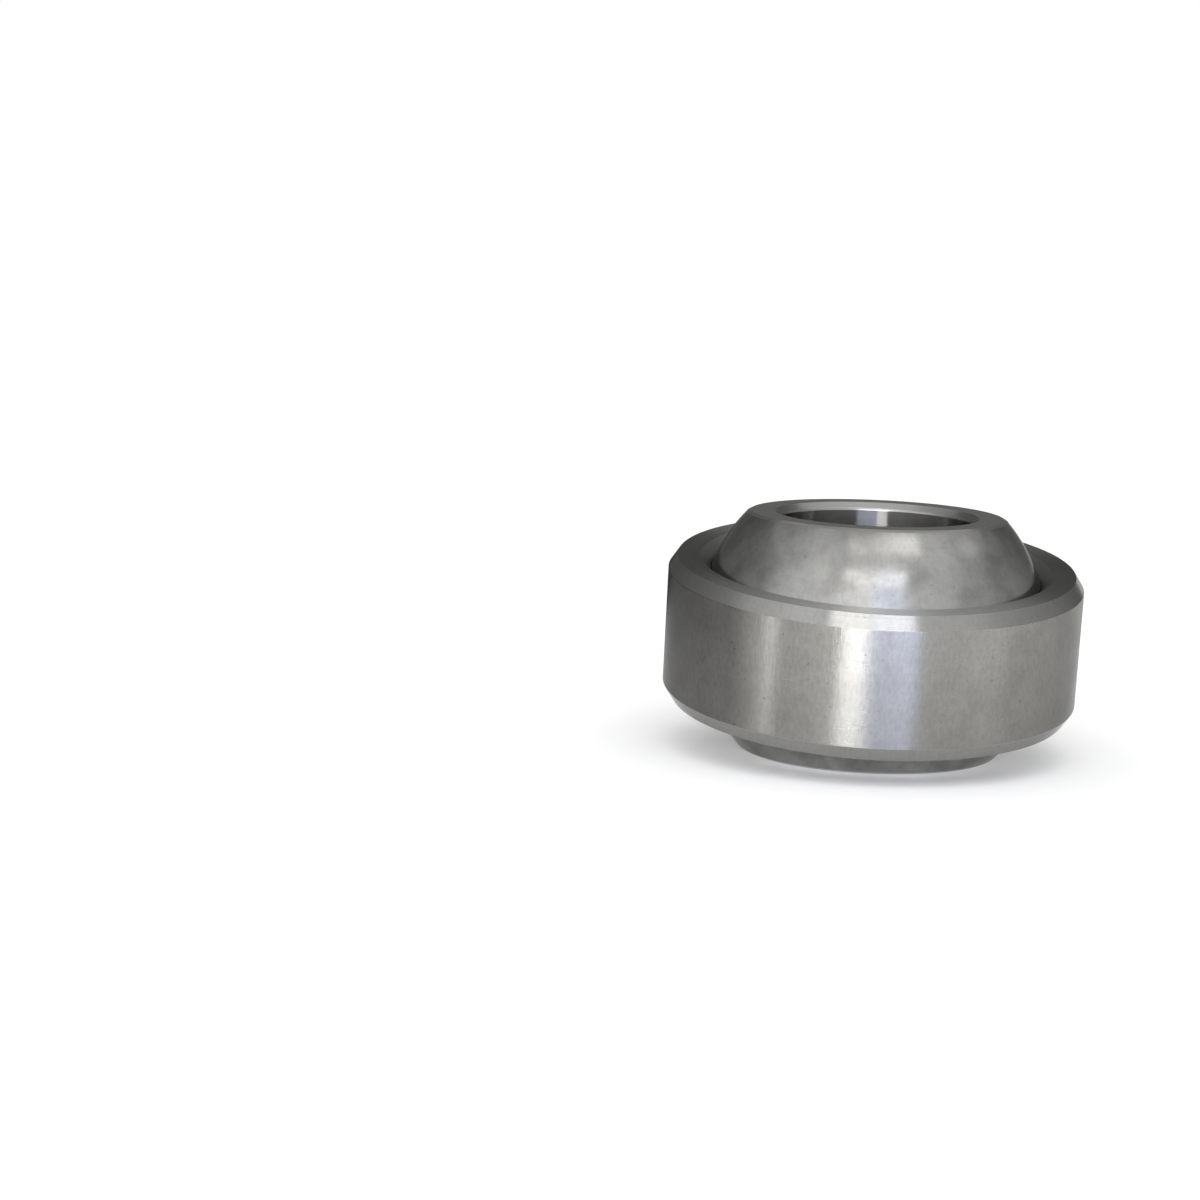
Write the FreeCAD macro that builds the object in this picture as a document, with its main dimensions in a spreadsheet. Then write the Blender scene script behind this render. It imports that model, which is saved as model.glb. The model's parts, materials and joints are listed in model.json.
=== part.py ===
import FreeCAD, Part
import math
import os
import Sketcher

# A spherical plain bearing of two rings. The inner ring is a truncated ball with a through bore, and
# it stands on its end face. The outer ring has the hollow race that holds the ball.
# The origin is the centre of the ball, Z is the axis of the bore and X is the swivel axis.
# At rest the outer ring leans about X, with its top towards -Y.

# Driving sizes in millimetres and degrees. Both rings are sized by their walls at mid height:
# ball_wall from the bore to the ball gives the ball's 22 mm, and outer_wall from the ball to the
# outside gives the outer ring's 26 mm. mouth_margin is how far a race mouth lies outside the ball.
# A rim chamfer's width lies along the axis and its depth across it.
SIZES = {
    "bore_diameter": 12.0,
    "inner_width": 15.0,
    "ball_wall": 5.0,
    "bore_chamfer": 0.4,
    "bore_edge_radius": 0.25,
    "ball_edge_break": 0.13,
    "race_gap": 0.025,
    "outer_wall": 2.0,
    "outer_width": 9.0,
    "rim_chamfer_width": 0.85,
    "rim_chamfer_depth": 0.55,
    "mouth_margin": 0.05,
    "mouth_bevel_angle": 45.0,
    "rest_lean": 6.5,
}

BALL_RADIUS = SIZES["bore_diameter"] / 2 + SIZES["ball_wall"]
BALL_FORMULA = "sizes.bore_diameter / 2 + sizes.ball_wall"

# The points of a line or an arc, then the sketch's own origin and horizontal axis
START, END, CENTRE = range(1, 4)
ORIGIN = (-1, START)
RADIUS_AXIS = ORIGIN[0]

# Two lengths closer than this are the same length
SAME_LENGTH = 0.0001

# The race is first drawn over this share of the ring's width, before the bevels set its ends
DRAWN_SHARE = 0.8

doc = FreeCAD.newDocument("spherical_plain_bearing")
sheet = doc.addObject("Spreadsheet::Sheet", "sizes")
for row, (name, value) in enumerate(SIZES.items(), start=1):
    sheet.set(f"A{row}", name)
    sheet.set(f"B{row}", str(value))
    sheet.setAlias(f"B{row}", name)
doc.recompute()


def new_body(label):
    """An empty body with its own label."""
    body = doc.addObject("PartDesign::Body", label)
    body.Label = label
    return body


def half_section(body, name):
    """A sketch on the body's own XZ plane: its x is the distance from the axis, its y the height."""
    plane = next(f for f in body.Origin.OriginFeatures if f.Role == "XZ_Plane")
    sketch = body.newObject("Sketcher::SketchObject", name)
    sketch.AttachmentSupport = (plane, [""])
    sketch.MapMode = "FlatFace"
    return sketch


def ball_arc(sketch, radius, half_height):
    """An arc about the ball's centre that ends at the same height above and below it."""
    sweep = math.asin(half_height / radius)
    circle = Part.Circle(FreeCAD.Vector(0, 0, 0), FreeCAD.Vector(0, 0, 1), radius)
    arc = sketch.addGeometry(Part.ArcOfCircle(circle, -sweep, sweep), False)
    sketch.addConstraint(Sketcher.Constraint("Coincident", arc, CENTRE, *ORIGIN))
    sketch.addConstraint(Sketcher.Constraint("Symmetric", arc, START, arc, END, RADIUS_AXIS))
    return arc


def chain(sketch, arc, corners):
    """Lines from the arc's upper end through the corners and back to its lower end."""
    points = [sketch.getPoint(arc, END)]
    points += [FreeCAD.Vector(x, y, 0) for x, y in corners]
    points += [sketch.getPoint(arc, START)]
    lines = [sketch.addGeometry(Part.LineSegment(a, b), False) for a, b in zip(points, points[1:])]
    sketch.addConstraint(Sketcher.Constraint("Coincident", arc, END, lines[0], START))
    for before, after in zip(lines, lines[1:]):
        sketch.addConstraint(Sketcher.Constraint("Coincident", before, END, after, START))
    sketch.addConstraint(Sketcher.Constraint("Coincident", lines[-1], END, arc, START))
    return lines


def mirror(sketch, upper, lower):
    """Keeps two points at the same distance above and below the ball's centre."""
    sketch.addConstraint(Sketcher.Constraint("Symmetric", *upper, *lower, RADIUS_AXIS))


def drive(sketch, name, drawn, formula, kind, *where):
    """A dimension of the sketch, as drawn at first, whose value then follows the sheet."""
    number = sketch.addConstraint(Sketcher.Constraint(kind, *where, drawn))
    sketch.renameConstraint(number, name)
    sketch.setExpression(f"Constraints.{name}", formula)


def revolve(body, sketch):
    """A full turn of the half section about the axis."""
    turned = body.newObject("PartDesign::Revolution", f"{body.Name}_turned")
    turned.Profile = sketch
    turned.ReferenceAxis = (sketch, ["V_Axis"])
    turned.Angle = 360
    sketch.Visibility = False
    return turned


def rings_of_edges(feature, radius, height):
    """The names of the two circular edges of a radius that lie at a height above and below centre."""
    names = []
    for number, edge in enumerate(feature.Shape.Edges, start=1):
        curve = edge.Curve
        if not isinstance(curve, Part.Circle):
            continue
        off_radius = abs(curve.Radius - radius)
        off_height = abs(abs(curve.Center.z) - height)
        if max(off_radius, off_height) < SAME_LENGTH:
            names.append(f"Edge{number}")
    return names


# Outer ring: cylinder outside, a chamfer on each rim, bevelled mouths and the spherical race
def make_outer_ring():
    body = new_body("outer_ring")
    sketch = half_section(body, "outer_section")
    race_radius = BALL_RADIUS + SIZES["race_gap"]
    outside = BALL_RADIUS + SIZES["outer_wall"]
    mouth = BALL_RADIUS + SIZES["mouth_margin"]
    side = SIZES["outer_width"] / 2
    rim = side - SIZES["rim_chamfer_width"]
    face_edge = outside - SIZES["rim_chamfer_depth"]

    race = ball_arc(sketch, race_radius, DRAWN_SHARE * side)
    corners = [(mouth, side), (face_edge, side), (outside, rim)]
    corners += [(x, -y) for x, y in reversed(corners)]
    bevel, face, chamfer, cylinder, low_chamfer, low_face, low_bevel = chain(sketch, race, corners)
    sketch.addConstraint(Sketcher.Constraint("Horizontal", face))
    mirror(sketch, (bevel, END), (low_bevel, START))
    mirror(sketch, (face, END), (low_face, START))
    mirror(sketch, (chamfer, END), (low_chamfer, START))

    bevel_angle = math.radians(SIZES["mouth_bevel_angle"])
    rim_depth, rim_width = SIZES["rim_chamfer_depth"], SIZES["rim_chamfer_width"]
    race_size = f"{BALL_FORMULA} + sizes.race_gap"
    outside_size = f"{BALL_FORMULA} + sizes.outer_wall"
    mouth_size = f"{BALL_FORMULA} + sizes.mouth_margin"
    drive(sketch, "race_radius", race_radius, race_size, "Radius", race)
    drive(sketch, "outside", outside, outside_size, "DistanceX", *ORIGIN, cylinder, START)
    drive(sketch, "mouth", mouth, mouth_size, "DistanceX", *ORIGIN, face, START)
    drive(sketch, "width", 2 * side, "sizes.outer_width", "DistanceY", low_face, START, face, END)
    drive(sketch, "rim_depth", rim_depth, "sizes.rim_chamfer_depth", "DistanceX", face, END, chamfer, END)
    drive(sketch, "rim_width", rim_width, "sizes.rim_chamfer_width", "DistanceY", chamfer, END, face, END)
    drive(sketch, "bevel_angle", bevel_angle, "sizes.mouth_bevel_angle", "Angle", bevel)
    doc.recompute()

    body.Tip = revolve(body, sketch)
    body.Placement.Rotation = FreeCAD.Rotation(FreeCAD.Vector(1, 0, 0), SIZES["rest_lean"])
    body.setExpression(".Placement.Rotation.Angle", "sizes.rest_lean")
    doc.recompute()
    return body


# Inner ring: a truncated ball with a through bore
def make_inner_ring():
    body = new_body("inner_ring")
    sketch = half_section(body, "inner_section")
    end = SIZES["inner_width"] / 2
    bore = SIZES["bore_diameter"] / 2
    mouth = bore + SIZES["bore_chamfer"]
    wall_end = end - SIZES["bore_chamfer"]

    surface = ball_arc(sketch, BALL_RADIUS, end)
    corners = [(mouth, end), (bore, wall_end)]
    corners += [(x, -y) for x, y in reversed(corners)]
    face, chamfer, wall, low_chamfer, low_face = chain(sketch, surface, corners)
    sketch.addConstraint(Sketcher.Constraint("Horizontal", face))
    mirror(sketch, (face, END), (low_face, START))
    mirror(sketch, (chamfer, END), (low_chamfer, START))

    cut = SIZES["bore_chamfer"]
    drive(sketch, "ball_radius", BALL_RADIUS, BALL_FORMULA, "Radius", surface)
    drive(sketch, "width", 2 * end, "sizes.inner_width", "DistanceY", low_face, START, face, END)
    drive(sketch, "bore", bore, "sizes.bore_diameter / 2", "DistanceX", *ORIGIN, wall, START)
    drive(sketch, "chamfer_depth", cut, "sizes.bore_chamfer", "DistanceX", chamfer, END, face, END)
    drive(sketch, "chamfer_width", cut, "sizes.bore_chamfer", "DistanceY", chamfer, END, face, END)
    doc.recompute()

    turned = revolve(body, sketch)
    doc.recompute()

    # The ground bore runs into its chamfer over a small round
    rounded = body.newObject("PartDesign::Fillet", "bore_edges")
    rounded.Base = (turned, rings_of_edges(turned, bore, wall_end))
    rounded.setExpression("Radius", "sizes.bore_edge_radius")
    doc.recompute()

    # The sharp corner between the ball and each end face is broken
    corner = math.sqrt(BALL_RADIUS**2 - end**2)
    broken = body.newObject("PartDesign::Chamfer", "ball_edges")
    broken.Base = (rounded, rings_of_edges(rounded, corner, end))
    broken.setExpression("Size", "sizes.ball_edge_break")
    body.Tip = broken
    doc.recompute()
    return body


bodies = [make_outer_ring(), make_inner_ring()]

for item in doc.Objects:
    if "Invalid" in item.State or "Error" in item.State:
        raise RuntimeError(f"{item.Name} failed: {item.State}")
for sketch in doc.findObjects("Sketcher::SketchObject"):
    if sketch.solve() != 0 or sketch.FullyConstrained is not True:
        raise RuntimeError(f"{sketch.Name} isn't fully set by its dimensions")
for body in bodies:
    if body.Shape.isNull() or not body.Shape.isValid() or len(body.Shape.Solids) != 1:
        raise RuntimeError(f"{body.Label} isn't one valid solid")

os.makedirs("parts", exist_ok=True)
for body in bodies:
    body.Shape.exportStep(f"parts/{body.Label}.step")
    box = body.Shape.BoundBox
    print(f"{body.Label}: {box.XLength:.3f} x {box.YLength:.3f} x {box.ZLength:.3f} mm")
    print(f"{body.Label}: volume {body.Shape.Volume:.2f} mm3")
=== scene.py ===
import json
import math

import bpy
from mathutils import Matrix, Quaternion, Vector

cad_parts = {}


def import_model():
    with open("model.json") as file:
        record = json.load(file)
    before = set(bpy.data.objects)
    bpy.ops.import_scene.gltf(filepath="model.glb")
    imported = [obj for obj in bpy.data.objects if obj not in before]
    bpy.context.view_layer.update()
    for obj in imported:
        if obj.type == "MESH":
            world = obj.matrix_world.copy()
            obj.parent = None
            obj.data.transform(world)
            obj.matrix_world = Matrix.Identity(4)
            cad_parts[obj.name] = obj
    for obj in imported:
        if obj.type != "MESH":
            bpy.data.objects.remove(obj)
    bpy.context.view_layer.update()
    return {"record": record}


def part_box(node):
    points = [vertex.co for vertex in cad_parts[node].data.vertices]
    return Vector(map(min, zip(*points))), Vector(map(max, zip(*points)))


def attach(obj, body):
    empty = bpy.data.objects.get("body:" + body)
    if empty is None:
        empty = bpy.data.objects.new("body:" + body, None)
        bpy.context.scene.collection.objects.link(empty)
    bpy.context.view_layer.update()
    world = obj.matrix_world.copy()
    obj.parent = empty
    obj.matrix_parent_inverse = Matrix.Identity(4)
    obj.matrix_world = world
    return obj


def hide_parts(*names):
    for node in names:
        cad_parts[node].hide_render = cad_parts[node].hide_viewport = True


# The looks of a spherical plain bearing: a ground and turned outer ring, and an inner ring with a
# polished ball, both lathed from their sections with the small edge rounds that catch the light.
# Everything is in metres in the part's own frame: Z is the bore's axis and X the swivel axis.

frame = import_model()

MM = 0.001
UP = Vector((0, 0, 1))

# Sizes that the frame gives
mounts = {mount["name"]: mount for mount in frame["record"]["mounts"]}
BORE_RADIUS = mounts["bore"]["dims"]["r_mm"] * MM
OUTER_RADIUS = mounts["outer_seat"]["dims"]["r_mm"] * MM
SEAT_HALF = mounts["outer_seat"]["dims"]["length_mm"] * MM / 2
RING_AXIS = Vector(mounts["outer_seat"]["axis"])
OUTER_HALF = Vector(mounts["upper_side_face"]["pos_m"]).dot(RING_AXIS)
INNER_HALF = mounts["upper_end_face"]["pos_m"][2]
BALL_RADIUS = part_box("inner_ring")[1].x
FLOOR = -INNER_HALF

# Sizes that the frame's mounts don't state
RACE_GAP = 0.025 * MM
MOUTH_MARGIN = 0.05 * MM
MOUTH_BEVEL = math.radians(45)
RIM_DEPTH = 0.55 * MM
BORE_CHAMFER = 0.4 * MM
BORE_EDGE_ROUND = 0.25 * MM
BALL_EDGE_BREAK = 0.13 * MM
SHARP_ROUND = 0.03 * MM
SOFT_ROUND = 0.06 * MM

# How finely the sections are turned
SEGMENTS = 512
ROUND_STEPS = 4
ARC_STEPS = 64
LINE_STEPS = 6


class Side:
    """One side of a section, a line or an arc about the ball's centre, with the material on its left."""

    def __init__(self, finish, start, end, radius=None):
        self.finish, self.start, self.end, self.radius = finish, Vector(start), Vector(end), radius

    def turn(self):
        """An arc's sense: 1 turns left, as the ball does, and -1 turns right, as the race does."""
        return 1 if self.end.y > self.start.y else -1

    def tangent(self, point):
        if self.radius:
            return Vector((-point.y, point.x)).normalized() * self.turn()
        return (self.end - self.start).normalized()

    def points(self, trim_start, trim_end):
        """Points along the side, less a length at each end."""
        if self.radius:
            first = math.atan2(self.start.y, self.start.x) + self.turn() * trim_start / self.radius
            last = math.atan2(self.end.y, self.end.x) - self.turn() * trim_end / self.radius
            angles = [first + (last - first) * i / ARC_STEPS for i in range(ARC_STEPS + 1)]
            return [Vector((math.cos(a), math.sin(a))) * self.radius for a in angles]
        first = self.start + self.tangent(self.start) * trim_start
        last = self.end - self.tangent(self.end) * trim_end
        return [first.lerp(last, i / LINE_STEPS) for i in range(LINE_STEPS + 1)]


def outward(tangent):
    """The normal that points out of the material."""
    return Vector((tangent.y, -tangent.x))


def rounded_section(sides, rounds):
    """The closed section as rows of (point, normal, finish). rounds holds the radius of the corner
    that ends each side."""
    turns = []
    for side, after in zip(sides, sides[1:] + sides[:1]):
        turns.append(side.tangent(side.end).angle(after.tangent(after.start)))
    trims = [radius * math.tan(turn / 2) for radius, turn in zip(rounds, turns)]
    rows = []
    for i, side in enumerate(sides):
        after = sides[(i + 1) % len(sides)]
        points = side.points(trims[i - 1], trims[i])
        rows += [(p, outward(side.tangent(p)), side.finish) for p in points]
        # The corner's round, without its two ends, which are already rows
        first, last = rows[-1][1], outward(after.tangent(after.start))
        centre = points[-1] - first * rounds[i]
        for step in range(1, ROUND_STEPS):
            normal = first.slerp(last, step / ROUND_STEPS)
            rows.append((centre + normal * rounds[i], normal, side.finish))
    return rows


def lathe(name, rows, lean=Quaternion()):
    """A ring turned about Z from a closed section, with its exact normals, and then leant. Its maps
    run along the section in u and round the axis in v. The textures follow its point attribute
    turning: the direction from the axis in x and y, and the length along the section, in
    millimetres, in z."""
    lengths = [0.0]
    for (p, _, _), (q, _, _) in zip(rows, rows[1:] + rows[:1]):
        lengths.append(lengths[-1] + (q - p).length)
    vertices, normals, turning = [], [], []
    for k in range(SEGMENTS):
        angle = 2 * math.pi * k / SEGMENTS
        c, s = math.cos(angle), math.sin(angle)
        vertices += [lean @ Vector((p.x * c, p.x * s, p.y)) for p, _, _ in rows]
        normals += [lean @ Vector((n.x * c, n.x * s, n.y)) for _, n, _ in rows]
        for length in lengths[:-1]:
            turning += [c, s, length / MM]
    finishes = sorted({finish for _, _, finish in rows})
    count = len(rows)
    faces, places, slots = [], [], []
    for k in range(SEGMENTS):
        near, far = k * count, (k + 1) % SEGMENTS * count
        v = [k / SEGMENTS, (k + 1) / SEGMENTS]
        for i in range(count):
            j = (i + 1) % count
            faces.append((near + i, far + i, far + j, near + j))
            u = [lengths[i] / lengths[-1], lengths[i + 1] / lengths[-1]]
            places += [u[0], v[0], u[0], v[1], u[1], v[1], u[1], v[0]]
            slots.append(finishes.index(rows[i][2]))

    mesh = bpy.data.meshes.new(name)
    mesh.from_pydata(vertices, [], faces)
    # OFBake is a second copy of the same map
    for map_name in ("turning_map", "OFBake"):
        mesh.uv_layers.new(name=map_name).uv.foreach_set("vector", places)
    mesh.attributes.new("turning", "FLOAT_VECTOR", "POINT").data.foreach_set("vector", turning)
    mesh.polygons.foreach_set("material_index", slots)
    mesh.normals_split_custom_set_from_vertices(normals)
    for finish in finishes:
        mesh.materials.append(FINISHES[finish])
    mesh.validate()
    piece = bpy.data.objects.new(name, mesh)
    bpy.context.scene.collection.objects.link(piece)
    return piece


class Nodes:
    """Adds nodes to a tree and links them, so that a material reads as a formula."""

    def __init__(self, tree):
        self.tree = tree
        tree.nodes.clear()

    def add(self, kind, **settings):
        node = self.tree.nodes.new(f"ShaderNode{kind}")
        for key, value in settings.items():
            setattr(node, key, value)
        return node

    def join(self, source, socket):
        if isinstance(source, bpy.types.NodeSocket):
            self.tree.links.new(source, socket)
        else:
            socket.default_value = source

    def math(self, operation, *values):
        node = self.add("Math", operation=operation)
        for value, socket in zip(values, node.inputs):
            self.join(value, socket)
        return node.outputs[0]

    def total(self, *values):
        """The sum of several values."""
        result = values[0]
        for value in values[1:]:
            result = self.math("ADD", result, value)
        return result

    def times(self, value, factor):
        return self.math("MULTIPLY", value, factor)

    def mix_colour(self, share, first, second):
        node = self.add("Mix", data_type="RGBA")
        for value, socket in zip((share, first, second), (node.inputs[0], node.inputs[6], node.inputs[7])):
            self.join(value, socket)
        return node.outputs[2]

    def spread(self, value, low, high, to_low=0.0, to_high=1.0):
        """value from low to high, smoothed, as a number from to_low to to_high."""
        node = self.add("MapRange", interpolation_type="SMOOTHSTEP")
        for item, socket in zip((value, low, high, to_low, to_high), node.inputs):
            self.join(item, socket)
        return node.outputs[0]

    def turned_noise(self, around, along, detail=2.0, roughness=0.5):
        """Noise that follows the turning: it changes so many times in a radian round the axis and so
        many times in a millimetre of the section."""
        place = self.add("Attribute", attribute_name="turning").outputs["Vector"]
        scaled = self.add("VectorMath", operation="MULTIPLY")
        self.join(place, scaled.inputs[0])
        scaled.inputs[1].default_value = (around, around, along)
        node = self.add("TexNoise")
        self.join(scaled.outputs[0], node.inputs["Vector"])
        node.inputs["Scale"].default_value = 1.0
        node.inputs["Detail"].default_value = detail
        node.inputs["Roughness"].default_value = roughness
        return node.outputs["Fac"]


# The painted dark reflection on the ball, a dark cloud painted into its colour, in millimetres: its
# middle, measured from the ball's centre, the distances at which it starts to fade and has gone, and how
# ragged its edge is. Then how much it darkens the steel.
CLOUD_AT = (-2.5, -8.2, 6.9)
CLOUD_CORE = 0.5
CLOUD_REACH = 2.4
CLOUD_RAG = 4.0
CLOUD_DARKNESS = 0.25


def painted_dark_reflection(nodes, patches):
    """How dark the painted dark reflection on the ball is at a point, with an edge that follows the
    patches.
    """
    place = nodes.add("VectorMath", operation="DISTANCE")
    nodes.join(nodes.add("TexCoord").outputs["Object"], place.inputs[0])
    place.inputs[1].default_value = [c * MM for c in CLOUD_AT]
    distance = nodes.times(place.outputs["Value"], 1 / MM)
    ragged = nodes.total(distance, nodes.times(patches, CLOUD_RAG), -CLOUD_RAG / 2)
    return nodes.spread(ragged, CLOUD_CORE, CLOUD_REACH, CLOUD_DARKNESS, 0.0)


# How often the textures change in a millimetre round the surface, and in one along its section
PATCHES_PER_MM = (0.45, 0.5)
FLECKS_PER_MM = (5.0, 2.2)
MARKS_PER_MM = (3.4, 3.0)

# Each texture runs from 0 to 1: where it starts to show, and where it shows in full
PATCH_RANGE = (0.35, 0.7)
LINE_RANGE = (0.3, 0.7)
FLECK_RANGE = (0.35, 0.7)
MARK_RANGE = (0.72, 0.78)

# The tool lines are fine ones mixed with coarse ones: how often each kind wavers in a radian, how many
# coarse lines there are for each fine one, and the fine ones' share
FINE_WAVER = 1.5
COARSE_WAVER = 0.8
COARSE_PER_FINE = 0.2
FINE_SHARE = 0.6

# How much a full line is darkened, and towards what part of the steel's own tone
LINE_DARKNESS = 0.1
LINE_SHADE = 0.6
MARK_TONE = (0.05, 0.05, 0.05, 1)
BLACK = (0, 0, 0, 1)

# How much the roughness changes from the least to the most of the patches and of the lines
PATCH_ROUGHNESS = 0.08
LINE_ROUGHNESS = 0.06

# How much of the usual shine the steel has where it is seen at a grazing angle
EDGE_TINT = (0.68, 0.68, 0.68, 1)


def steel(
    name, radius, colour, roughness, anisotropy, pitch, line_depth,
    dull=None, grain=0.0, specks=0.0, pits=0.0, painted_reflection=False,
):
    """Cut or ground steel. radius is the turned radius, pitch the distance between the tool lines and
    line_depth their depth, all in millimetres. colour is its clean tone and dull the tone of its worn
    patches, if it has any. grain is how much darker its darkest flecks are, specks how dark its marks
    are and pits how deep the flecks lie, in millimetres. With painted_reflection it has the painted dark
    reflection, a dark cloud painted into its colour."""
    material = bpy.data.materials.new(name)
    material.use_nodes = True
    nodes = Nodes(material.node_tree)

    def spots(per_mm, **settings):
        around, along = per_mm
        return nodes.turned_noise(radius * around, along, **settings)

    fine = nodes.turned_noise(FINE_WAVER, 1 / pitch, detail=3.0, roughness=0.6)
    coarse = nodes.turned_noise(COARSE_WAVER, COARSE_PER_FINE / pitch)
    lines = nodes.total(nodes.times(fine, FINE_SHARE), nodes.times(coarse, 1 - FINE_SHARE))
    patches = spots(PATCHES_PER_MM, detail=4.0, roughness=0.55)
    flecks = spots(FLECKS_PER_MM, detail=3.0, roughness=0.7)
    marks = nodes.spread(spots(MARKS_PER_MM, detail=1.0), *MARK_RANGE)

    tone = nodes.mix_colour(nodes.spread(patches, *PATCH_RANGE), colour, dull or colour)
    line_tone = (*[c * LINE_SHADE for c in colour[:3]], 1)
    tone = nodes.mix_colour(nodes.spread(lines, *LINE_RANGE, 0.0, LINE_DARKNESS), tone, line_tone)
    tone = nodes.mix_colour(nodes.spread(flecks, *FLECK_RANGE, 0.0, grain), tone, BLACK)
    tone = nodes.mix_colour(nodes.times(marks, specks), tone, MARK_TONE)
    # The painted dark reflection: a dark cloud painted into the ball's colour on its upper front
    if painted_reflection:
        tone = nodes.mix_colour(painted_dark_reflection(nodes, patches), tone, BLACK)

    uneven = nodes.times(nodes.math("SUBTRACT", patches, 0.5), PATCH_ROUGHNESS)
    lined = nodes.times(lines, LINE_ROUGHNESS)
    rough = nodes.total(uneven, lined, roughness - LINE_ROUGHNESS / 2)

    bump = nodes.add("Bump")
    bump.inputs["Strength"].default_value = 1.0
    bump.inputs["Distance"].default_value = MM
    height = nodes.total(nodes.times(lines, line_depth), nodes.times(flecks, -pits))
    nodes.join(height, bump.inputs["Height"])

    tangent = nodes.add("Tangent", direction_type="UV_MAP", uv_map="turning_map")
    shader = nodes.add("BsdfPrincipled")
    shader.inputs["Metallic"].default_value = 1.0
    shader.inputs["Anisotropic"].default_value = anisotropy
    shader.inputs["Specular Tint"].default_value = EDGE_TINT
    nodes.join(tone, shader.inputs["Base Color"])
    nodes.join(rough, shader.inputs["Roughness"])
    nodes.join(bump.outputs["Normal"], shader.inputs["Normal"])
    nodes.join(tangent.outputs["Tangent"], shader.inputs["Tangent"])
    output = nodes.add("OutputMaterial")
    nodes.join(shader.outputs["BSDF"], output.inputs["Surface"])
    return material


# The steel's tones, set against levels measured in the photograph and in renders
BRIGHT_STEEL = (0.46, 0.455, 0.432, 1)
END_STEEL = (0.46, 0.457, 0.434, 1)
STEEL = (0.31, 0.307, 0.291, 1)
SIDE_STEEL = (0.32, 0.32, 0.31, 1)
CHAMFER_STEEL = (0.3, 0.3, 0.29, 1)
BALL_STEEL = (0.34, 0.339, 0.326, 1)
CLOUDED_STEEL = (0.24, 0.238, 0.23, 1)
DARK_STEEL = (0.25, 0.248, 0.238, 1)
GROUND_STEEL = (0.182, 0.18, 0.169, 1)
DULL_STEEL = (0.165, 0.163, 0.152, 1)

FINISHES = {
    "seat": steel(
        "ground_seat", radius=13.0, colour=GROUND_STEEL, dull=DULL_STEEL, roughness=0.29, anisotropy=1.0,
        pitch=0.05, line_depth=0.0001, grain=0.14, specks=0.4, pits=0.009,
    ),
    "rim_chamfer": steel(
        "turned_chamfer", radius=12.7, colour=CHAMFER_STEEL, roughness=0.19, anisotropy=0.5,
        pitch=0.08, line_depth=0.0001, grain=0.08, specks=0.2,
    ),
    "side_face": steel(
        "turned_side_face", radius=11.8, colour=SIDE_STEEL, roughness=0.44, anisotropy=1.0,
        pitch=0.1, line_depth=0.0002, grain=0.1, specks=0.2,
    ),
    "mouth_bevel": steel(
        "turned_mouth", radius=10.8, colour=STEEL, roughness=0.34, anisotropy=0.8,
        pitch=0.1, line_depth=0.0003,
    ),
    "race": steel(
        "ground_race", radius=11.0, colour=STEEL, roughness=0.25, anisotropy=0.6,
        pitch=0.1, line_depth=0.0003,
    ),
    # The ball carries the painted dark reflection on its upper front
    "ball": steel(
        "polished_ball", radius=10.0, colour=BALL_STEEL, dull=CLOUDED_STEEL, roughness=0.2, anisotropy=0.4,
        pitch=0.15, line_depth=0.0001, grain=0.08, specks=0.2, painted_reflection=True,
    ),
    "end_face": steel(
        "turned_end_face", radius=7.2, colour=END_STEEL, roughness=0.30, anisotropy=0.2,
        pitch=0.12, line_depth=0.0002,
    ),
    "edge": steel(
        "bright_edge", radius=8.0, colour=BRIGHT_STEEL, roughness=0.22, anisotropy=0.3,
        pitch=0.1, line_depth=0.0002,
    ),
    "bore_edge": steel(
        "bore_edge", radius=6.2, colour=BALL_STEEL, roughness=0.24, anisotropy=0.3,
        pitch=0.1, line_depth=0.0002,
    ),
    "bore": steel(
        "ground_bore", radius=6.0, colour=DARK_STEEL, roughness=0.2, anisotropy=1.0,
        pitch=0.1, line_depth=0.0002,
    ),
}


def mirrored(points):
    """The points below the ball's centre that match those above it, in reverse order."""
    return [(x, -y) for x, y in reversed(points)]


def outer_ring():
    """The outer ring, leant as the frame has it."""
    race_radius = BALL_RADIUS + RACE_GAP
    mouth = Vector((BALL_RADIUS + MOUTH_MARGIN, OUTER_HALF))
    inward = Vector((-math.sin(MOUTH_BEVEL), -math.cos(MOUTH_BEVEL)))
    # Where the bevel, run inwards from the mouth, meets the race
    reach = -mouth.dot(inward) - math.sqrt(mouth.dot(inward) ** 2 - mouth.length_squared + race_radius**2)
    edge = mouth + inward * reach
    face_edge = (OUTER_RADIUS - RIM_DEPTH, OUTER_HALF)
    upper = [(OUTER_RADIUS, SEAT_HALF), face_edge, tuple(mouth), tuple(edge)]
    corners = mirrored(upper) + upper
    end = ["mouth_bevel", "side_face", "rim_chamfer"]
    finishes = [*end, "seat", *reversed(end)]
    sides = [Side(f, a, b) for f, a, b in zip(finishes, corners, corners[1:])]
    sides.append(Side("race", corners[-1], corners[0], race_radius))
    rounds = [SHARP_ROUND] * 2 + [SOFT_ROUND] * 2 + [SHARP_ROUND] * 4
    piece = lathe("outer_ring_steel", rounded_section(sides, rounds), UP.rotation_difference(RING_AXIS))
    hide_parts("outer_ring")
    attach(piece, "outer_ring")


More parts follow.
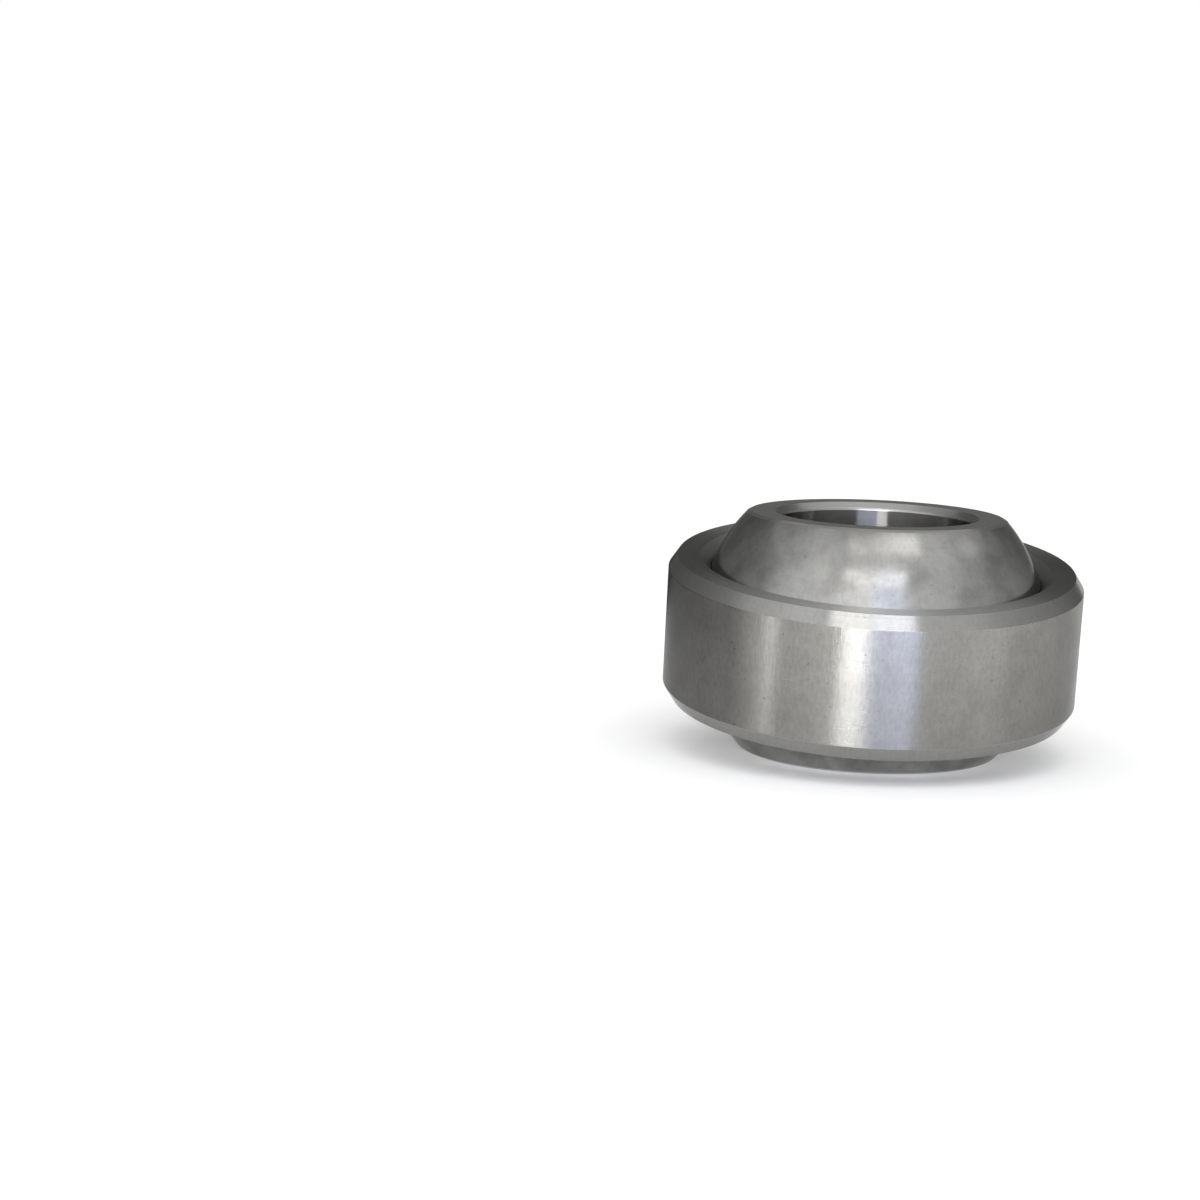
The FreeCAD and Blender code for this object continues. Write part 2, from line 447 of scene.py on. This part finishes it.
def inner_ring():
    """The inner ring: a truncated ball with its end faces and bore."""
    corner = math.sqrt(BALL_RADIUS**2 - INNER_HALF**2)
    ball_end = INNER_HALF - BALL_EDGE_BREAK
    upper = [
        (math.sqrt(BALL_RADIUS**2 - ball_end**2), ball_end),
        (corner - BALL_EDGE_BREAK, INNER_HALF),
        (BORE_RADIUS + BORE_CHAMFER, INNER_HALF),
        (BORE_RADIUS, INNER_HALF - BORE_CHAMFER),
    ]
    lower = mirrored(upper)
    end = ["bore_edge", "end_face", "edge"]
    sides = [Side("bore", upper[-1], lower[0])]
    sides += [Side(f, a, b) for f, a, b in zip(end, lower, lower[1:])]
    sides.append(Side("ball", lower[-1], upper[0], BALL_RADIUS))
    sides += [Side(f, a, b) for f, a, b in zip(reversed(end), upper, upper[1:])]
    rounds = [BORE_EDGE_ROUND] + [SHARP_ROUND] * 6 + [BORE_EDGE_ROUND]
    piece = lathe("inner_ring_steel", rounded_section(sides, rounds))
    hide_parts("inner_ring")
    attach(piece, "inner_ring")


# The camera's place, where it looks and its roll, fitted to the edges of the rings in the photograph,
# and its lens and sensor in millimetres
CAMERA_AT = Vector((-35.425, -196.331, 30.937)) * MM
CAMERA_AIM = Vector((-17.089, 1.790, 1.400)) * MM
CAMERA_ROLL = math.radians(2.034)
LENS = 95.712
SENSOR = 36.0
NEAREST = 1 * MM
FARTHEST = 10.0


def camera():
    data = bpy.data.cameras.new("camera")
    data.lens, data.sensor_width = LENS, SENSOR
    data.clip_start, data.clip_end = NEAREST, FARTHEST
    item = bpy.data.objects.new("camera", data)
    bpy.context.scene.collection.objects.link(item)
    item.location = CAMERA_AT
    item.rotation_mode = "QUATERNION"
    level = (CAMERA_AIM - CAMERA_AT).to_track_quat("-Z", "Y")
    item.rotation_quaternion = level @ Quaternion((0, 0, 1), CAMERA_ROLL)
    bpy.context.scene.camera = item


# The studio. A direction's azimuth is measured from the camera's side of the part, to its right.
CAMERA_SIDE = math.radians(-10.2)
STUDIO_RADIUS = 0.9

# The watts for each square metre that make a soft box as bright as white
WHITE_POWER = 4

WHITE = (1, 1, 1)
WARM_WHITE = (1.0, 0.99, 0.98)
ROSE_WHITE = (1.0, 0.99, 1.0)
LILAC_WHITE = (0.94, 0.94, 1)
COOL_WHITE = (0.92, 0.95, 1)
BLUE_WHITE = (0.9, 0.91, 1.0)
PALE_SKY = (0.8, 0.85, 1)
SKY = (0.72, 0.77, 1)


def towards(azimuth, elevation):
    """A unit vector from the part towards a place in the studio, in degrees."""
    a, e = math.radians(azimuth) + CAMERA_SIDE, math.radians(elevation)
    return Vector((math.sin(a) * math.cos(e), -math.cos(a) * math.cos(e), math.sin(e)))


def lamp(name, azimuth, elevation, width, height, strength, colour):
    """A soft box as wide and as high as given in degrees, as bright as strength times white."""
    data = bpy.data.lights.new(name, "AREA")
    data.shape = "RECTANGLE"
    data.size = 2 * STUDIO_RADIUS * math.tan(math.radians(width) / 2)
    data.size_y = 2 * STUDIO_RADIUS * math.tan(math.radians(height) / 2)
    data.energy = WHITE_POWER * strength * data.size * data.size_y
    data.color = colour
    item = bpy.data.objects.new(name, data)
    bpy.context.scene.collection.objects.link(item)
    item.location = towards(azimuth, elevation) * STUDIO_RADIUS
    item.rotation_mode = "QUATERNION"
    item.rotation_quaternion = (-item.location).to_track_quat("-Z", "Y")
    item.visible_camera = False


def seen_rays(nodes):
    """1 where the camera sees a thing, itself or in metal or glass, and 0 where it only gives light."""
    path = nodes.add("LightPath")
    seen = nodes.math("MAXIMUM", path.outputs["Is Camera Ray"], path.outputs["Is Glossy Ray"])
    return nodes.math("MAXIMUM", seen, path.outputs["Is Transmission Ray"])


# Half the floor's width, how white it is, and what it glows where it is seen, which makes it up to white
FLOOR_HALF = 3.0
FLOOR_WHITE = 0.88
FLOOR_LIFT = 0.12


def floor():
    """A plain pale floor, white wherever it is seen outside the shadow."""
    h = FLOOR_HALF
    mesh = bpy.data.meshes.new("floor")
    mesh.from_pydata([(-h, -h, 0), (h, -h, 0), (h, h, 0), (-h, h, 0)], [], [(0, 1, 2, 3)])
    item = bpy.data.objects.new("floor", mesh)
    item.location.z = FLOOR
    bpy.context.scene.collection.objects.link(item)
    material = bpy.data.materials.new("pale_floor")
    material.use_nodes = True
    nodes = Nodes(material.node_tree)
    matt = nodes.add("BsdfDiffuse")
    matt.inputs["Color"].default_value = (FLOOR_WHITE, FLOOR_WHITE, FLOOR_WHITE, 1)
    lift = nodes.add("Emission")
    nodes.join(nodes.times(seen_rays(nodes), FLOOR_LIFT), lift.inputs["Strength"])
    lifted = nodes.add("AddShader")
    nodes.join(matt.outputs[0], lifted.inputs[0])
    nodes.join(lift.outputs[0], lifted.inputs[1])
    output = nodes.add("OutputMaterial")
    nodes.join(lifted.outputs[0], output.inputs["Surface"])
    mesh.materials.append(material)


def world():
    """White wherever it is seen, itself or in the metal, and white soft light on the floor."""
    made = bpy.data.worlds.new("studio")
    bpy.context.scene.world = made
    made.use_nodes = True
    nodes = Nodes(made.node_tree)
    white = nodes.add("Background")
    white.inputs["Color"].default_value = (1, 1, 1, 1)
    output = nodes.add("OutputWorld")
    nodes.join(white.outputs[0], output.inputs["Surface"])


# How finely the walls are turned, their radii and how high they reach. The two far walls stand one on
# the other, each up to an elevation in degrees.
WALL_STEPS = 180
NEAR = 60 * MM
NEAR_HEIGHT = 13.5 * MM
FAR = 1.2
MIDDLE_WALL_TO = 38
TOP_WALL_TO = 66

# The walls' brightness by azimuth from the camera's side: (degrees, brightness) or with a tint. The
# numbers and tints were first worked out by fits to the light bands on the metal in the photograph, and
# then rounded and changed by comparing renders with it. The far walls carry the near wall's room on
# above it.
NEAR_WALL = [
    # A dim room with a narrow lit gap
    (-180, 0.1), (-72, 0.0), (-60, 3.3), (-52, 7.0), (-50.5, 16.0), (-48.5, 15.0), (-47, 5.0), (-43, 4.0),
    (-20, 7.5), (-15, 9.5),
    # The white half of a window, and its bluish half
    (-13.5, 27.0), (-6, 29.0, LILAC_WHITE), (-2.5, 25.0, COOL_WHITE),
    (-0.5, 13.5, SKY), (8, 13.6, SKY), (21, 18.5, SKY), (23, 9.0, SKY),
    # A pale wall, and what is behind the part
    (25, 6.2), (40, 5.4), (55, 6.2), (68, 5.1), (72, 3.8),
    (100, 2.7), (118, 1.8), (140, 1.4), (160, 0.5), (168, 1.5), (180, 1.5),
]
MIDDLE_WALL = [
    (-180, 0.2), (-150, 0.2), (-110, 0.35), (-90, 0.5), (-79, 0.85), (-60, 1.3), (-40, 1.4), (-28, 1.7),
    (-14, 1.7), (-12, 2.0), (-1, 2.0), (0, 2.3, PALE_SKY), (22, 2.2, PALE_SKY), (24, 1.3),
    (60, 1.0), (80, 0.75), (115, 0.5), (150, 0.25), (180, 0.2),
]
TOP_WALL = [
    (-180, 0.4), (-130, 0.5), (-85, 0.85), (-60, 1.1), (-47, 1.4), (-36, 1.4), (-28, 1.1),
    (22, 1.3), (32, 1.1), (80, 1.1), (115, 0.95), (135, 0.7), (180, 0.4),
]


def far_height(elevation):
    """How high on a far wall an elevation lies, in degrees."""
    return FAR * math.tan(math.radians(elevation))


def wall(name, radius, low, high, shades):
    """A round wall between two heights above the floor, which only the metal mirrors."""
    vertices, faces = [], []
    for k in range(WALL_STEPS):
        a = 2 * math.pi * k / WALL_STEPS
        vertices += [(radius * math.sin(a), -radius * math.cos(a), z) for z in (low, high)]
        j = (k + 1) % WALL_STEPS
        faces.append((2 * k, 2 * j, 2 * j + 1, 2 * k + 1))
    mesh = bpy.data.meshes.new(name)
    mesh.from_pydata(vertices, [], faces)
    item = bpy.data.objects.new(name, mesh)
    item.rotation_euler.z = CAMERA_SIDE
    item.location.z = FLOOR
    bpy.context.scene.collection.objects.link(item)
    material = bpy.data.materials.new(name)
    material.use_nodes = True
    nodes = Nodes(material.node_tree)
    place = nodes.add("SeparateXYZ")
    nodes.join(nodes.add("TexCoord").outputs["Object"], place.inputs[0])
    azimuth = nodes.math("ARCTAN2", place.outputs["X"], nodes.times(place.outputs["Y"], -1.0))
    ramp = nodes.add("ValToRGB")
    stops = ramp.color_ramp.elements
    while len(stops) < len(shades):
        stops.new(0.5)
    brightest = max(brightness for _, brightness, *_ in shades)
    for stop, (degrees, brightness, *tint) in zip(stops, shades):
        stop.position = degrees / 360 + 0.5
        red, green, blue = [brightness / brightest * c for c in (tint[0] if tint else WHITE)]
        stop.color = (red, green, blue, 1)
    nodes.join(nodes.total(nodes.math("DIVIDE", azimuth, 2 * math.pi), 0.5), ramp.inputs[0])
    glow = nodes.add("Emission")
    glow.inputs["Strength"].default_value = brightest
    nodes.join(ramp.outputs["Color"], glow.inputs["Color"])
    # It glows on its inner side only, and is clear from outside
    inner_only = nodes.add("MixShader")
    nodes.join(nodes.add("NewGeometry").outputs["Backfacing"], inner_only.inputs[0])
    nodes.join(nodes.add("BsdfTransparent").outputs[0], inner_only.inputs[1])
    nodes.join(glow.outputs[0], inner_only.inputs[2])
    output = nodes.add("OutputMaterial")
    nodes.join(inner_only.outputs[0], output.inputs["Surface"])
    mesh.materials.append(material)
    item.visible_camera = item.visible_diffuse = item.visible_shadow = False


outer_ring()
inner_ring()
camera()
floor()
world()
wall("near_wall", NEAR, 0, NEAR_HEIGHT, NEAR_WALL)
wall("middle_wall", FAR, 0, far_height(MIDDLE_WALL_TO), MIDDLE_WALL)
wall("top_wall", FAR, far_height(MIDDLE_WALL_TO), far_height(TOP_WALL_TO), TOP_WALL)
lamp("strip_left", azimuth=-12, elevation=43.5, width=18, height=6, strength=2.8, colour=WARM_WHITE)
lamp("strip_right", azimuth=14.2, elevation=43.5, width=19, height=6, strength=3.0, colour=BLUE_WHITE)
lamp("overhead", azimuth=12, elevation=68, width=40, height=14, strength=1.0, colour=WARM_WHITE)
lamp("front_left", azimuth=-6, elevation=10, width=12, height=7, strength=20, colour=ROSE_WHITE)
lamp("front_right", azimuth=12.5, elevation=10, width=24, height=7, strength=8.5, colour=SKY)

bpy.context.scene.view_settings.view_transform = "Standard"
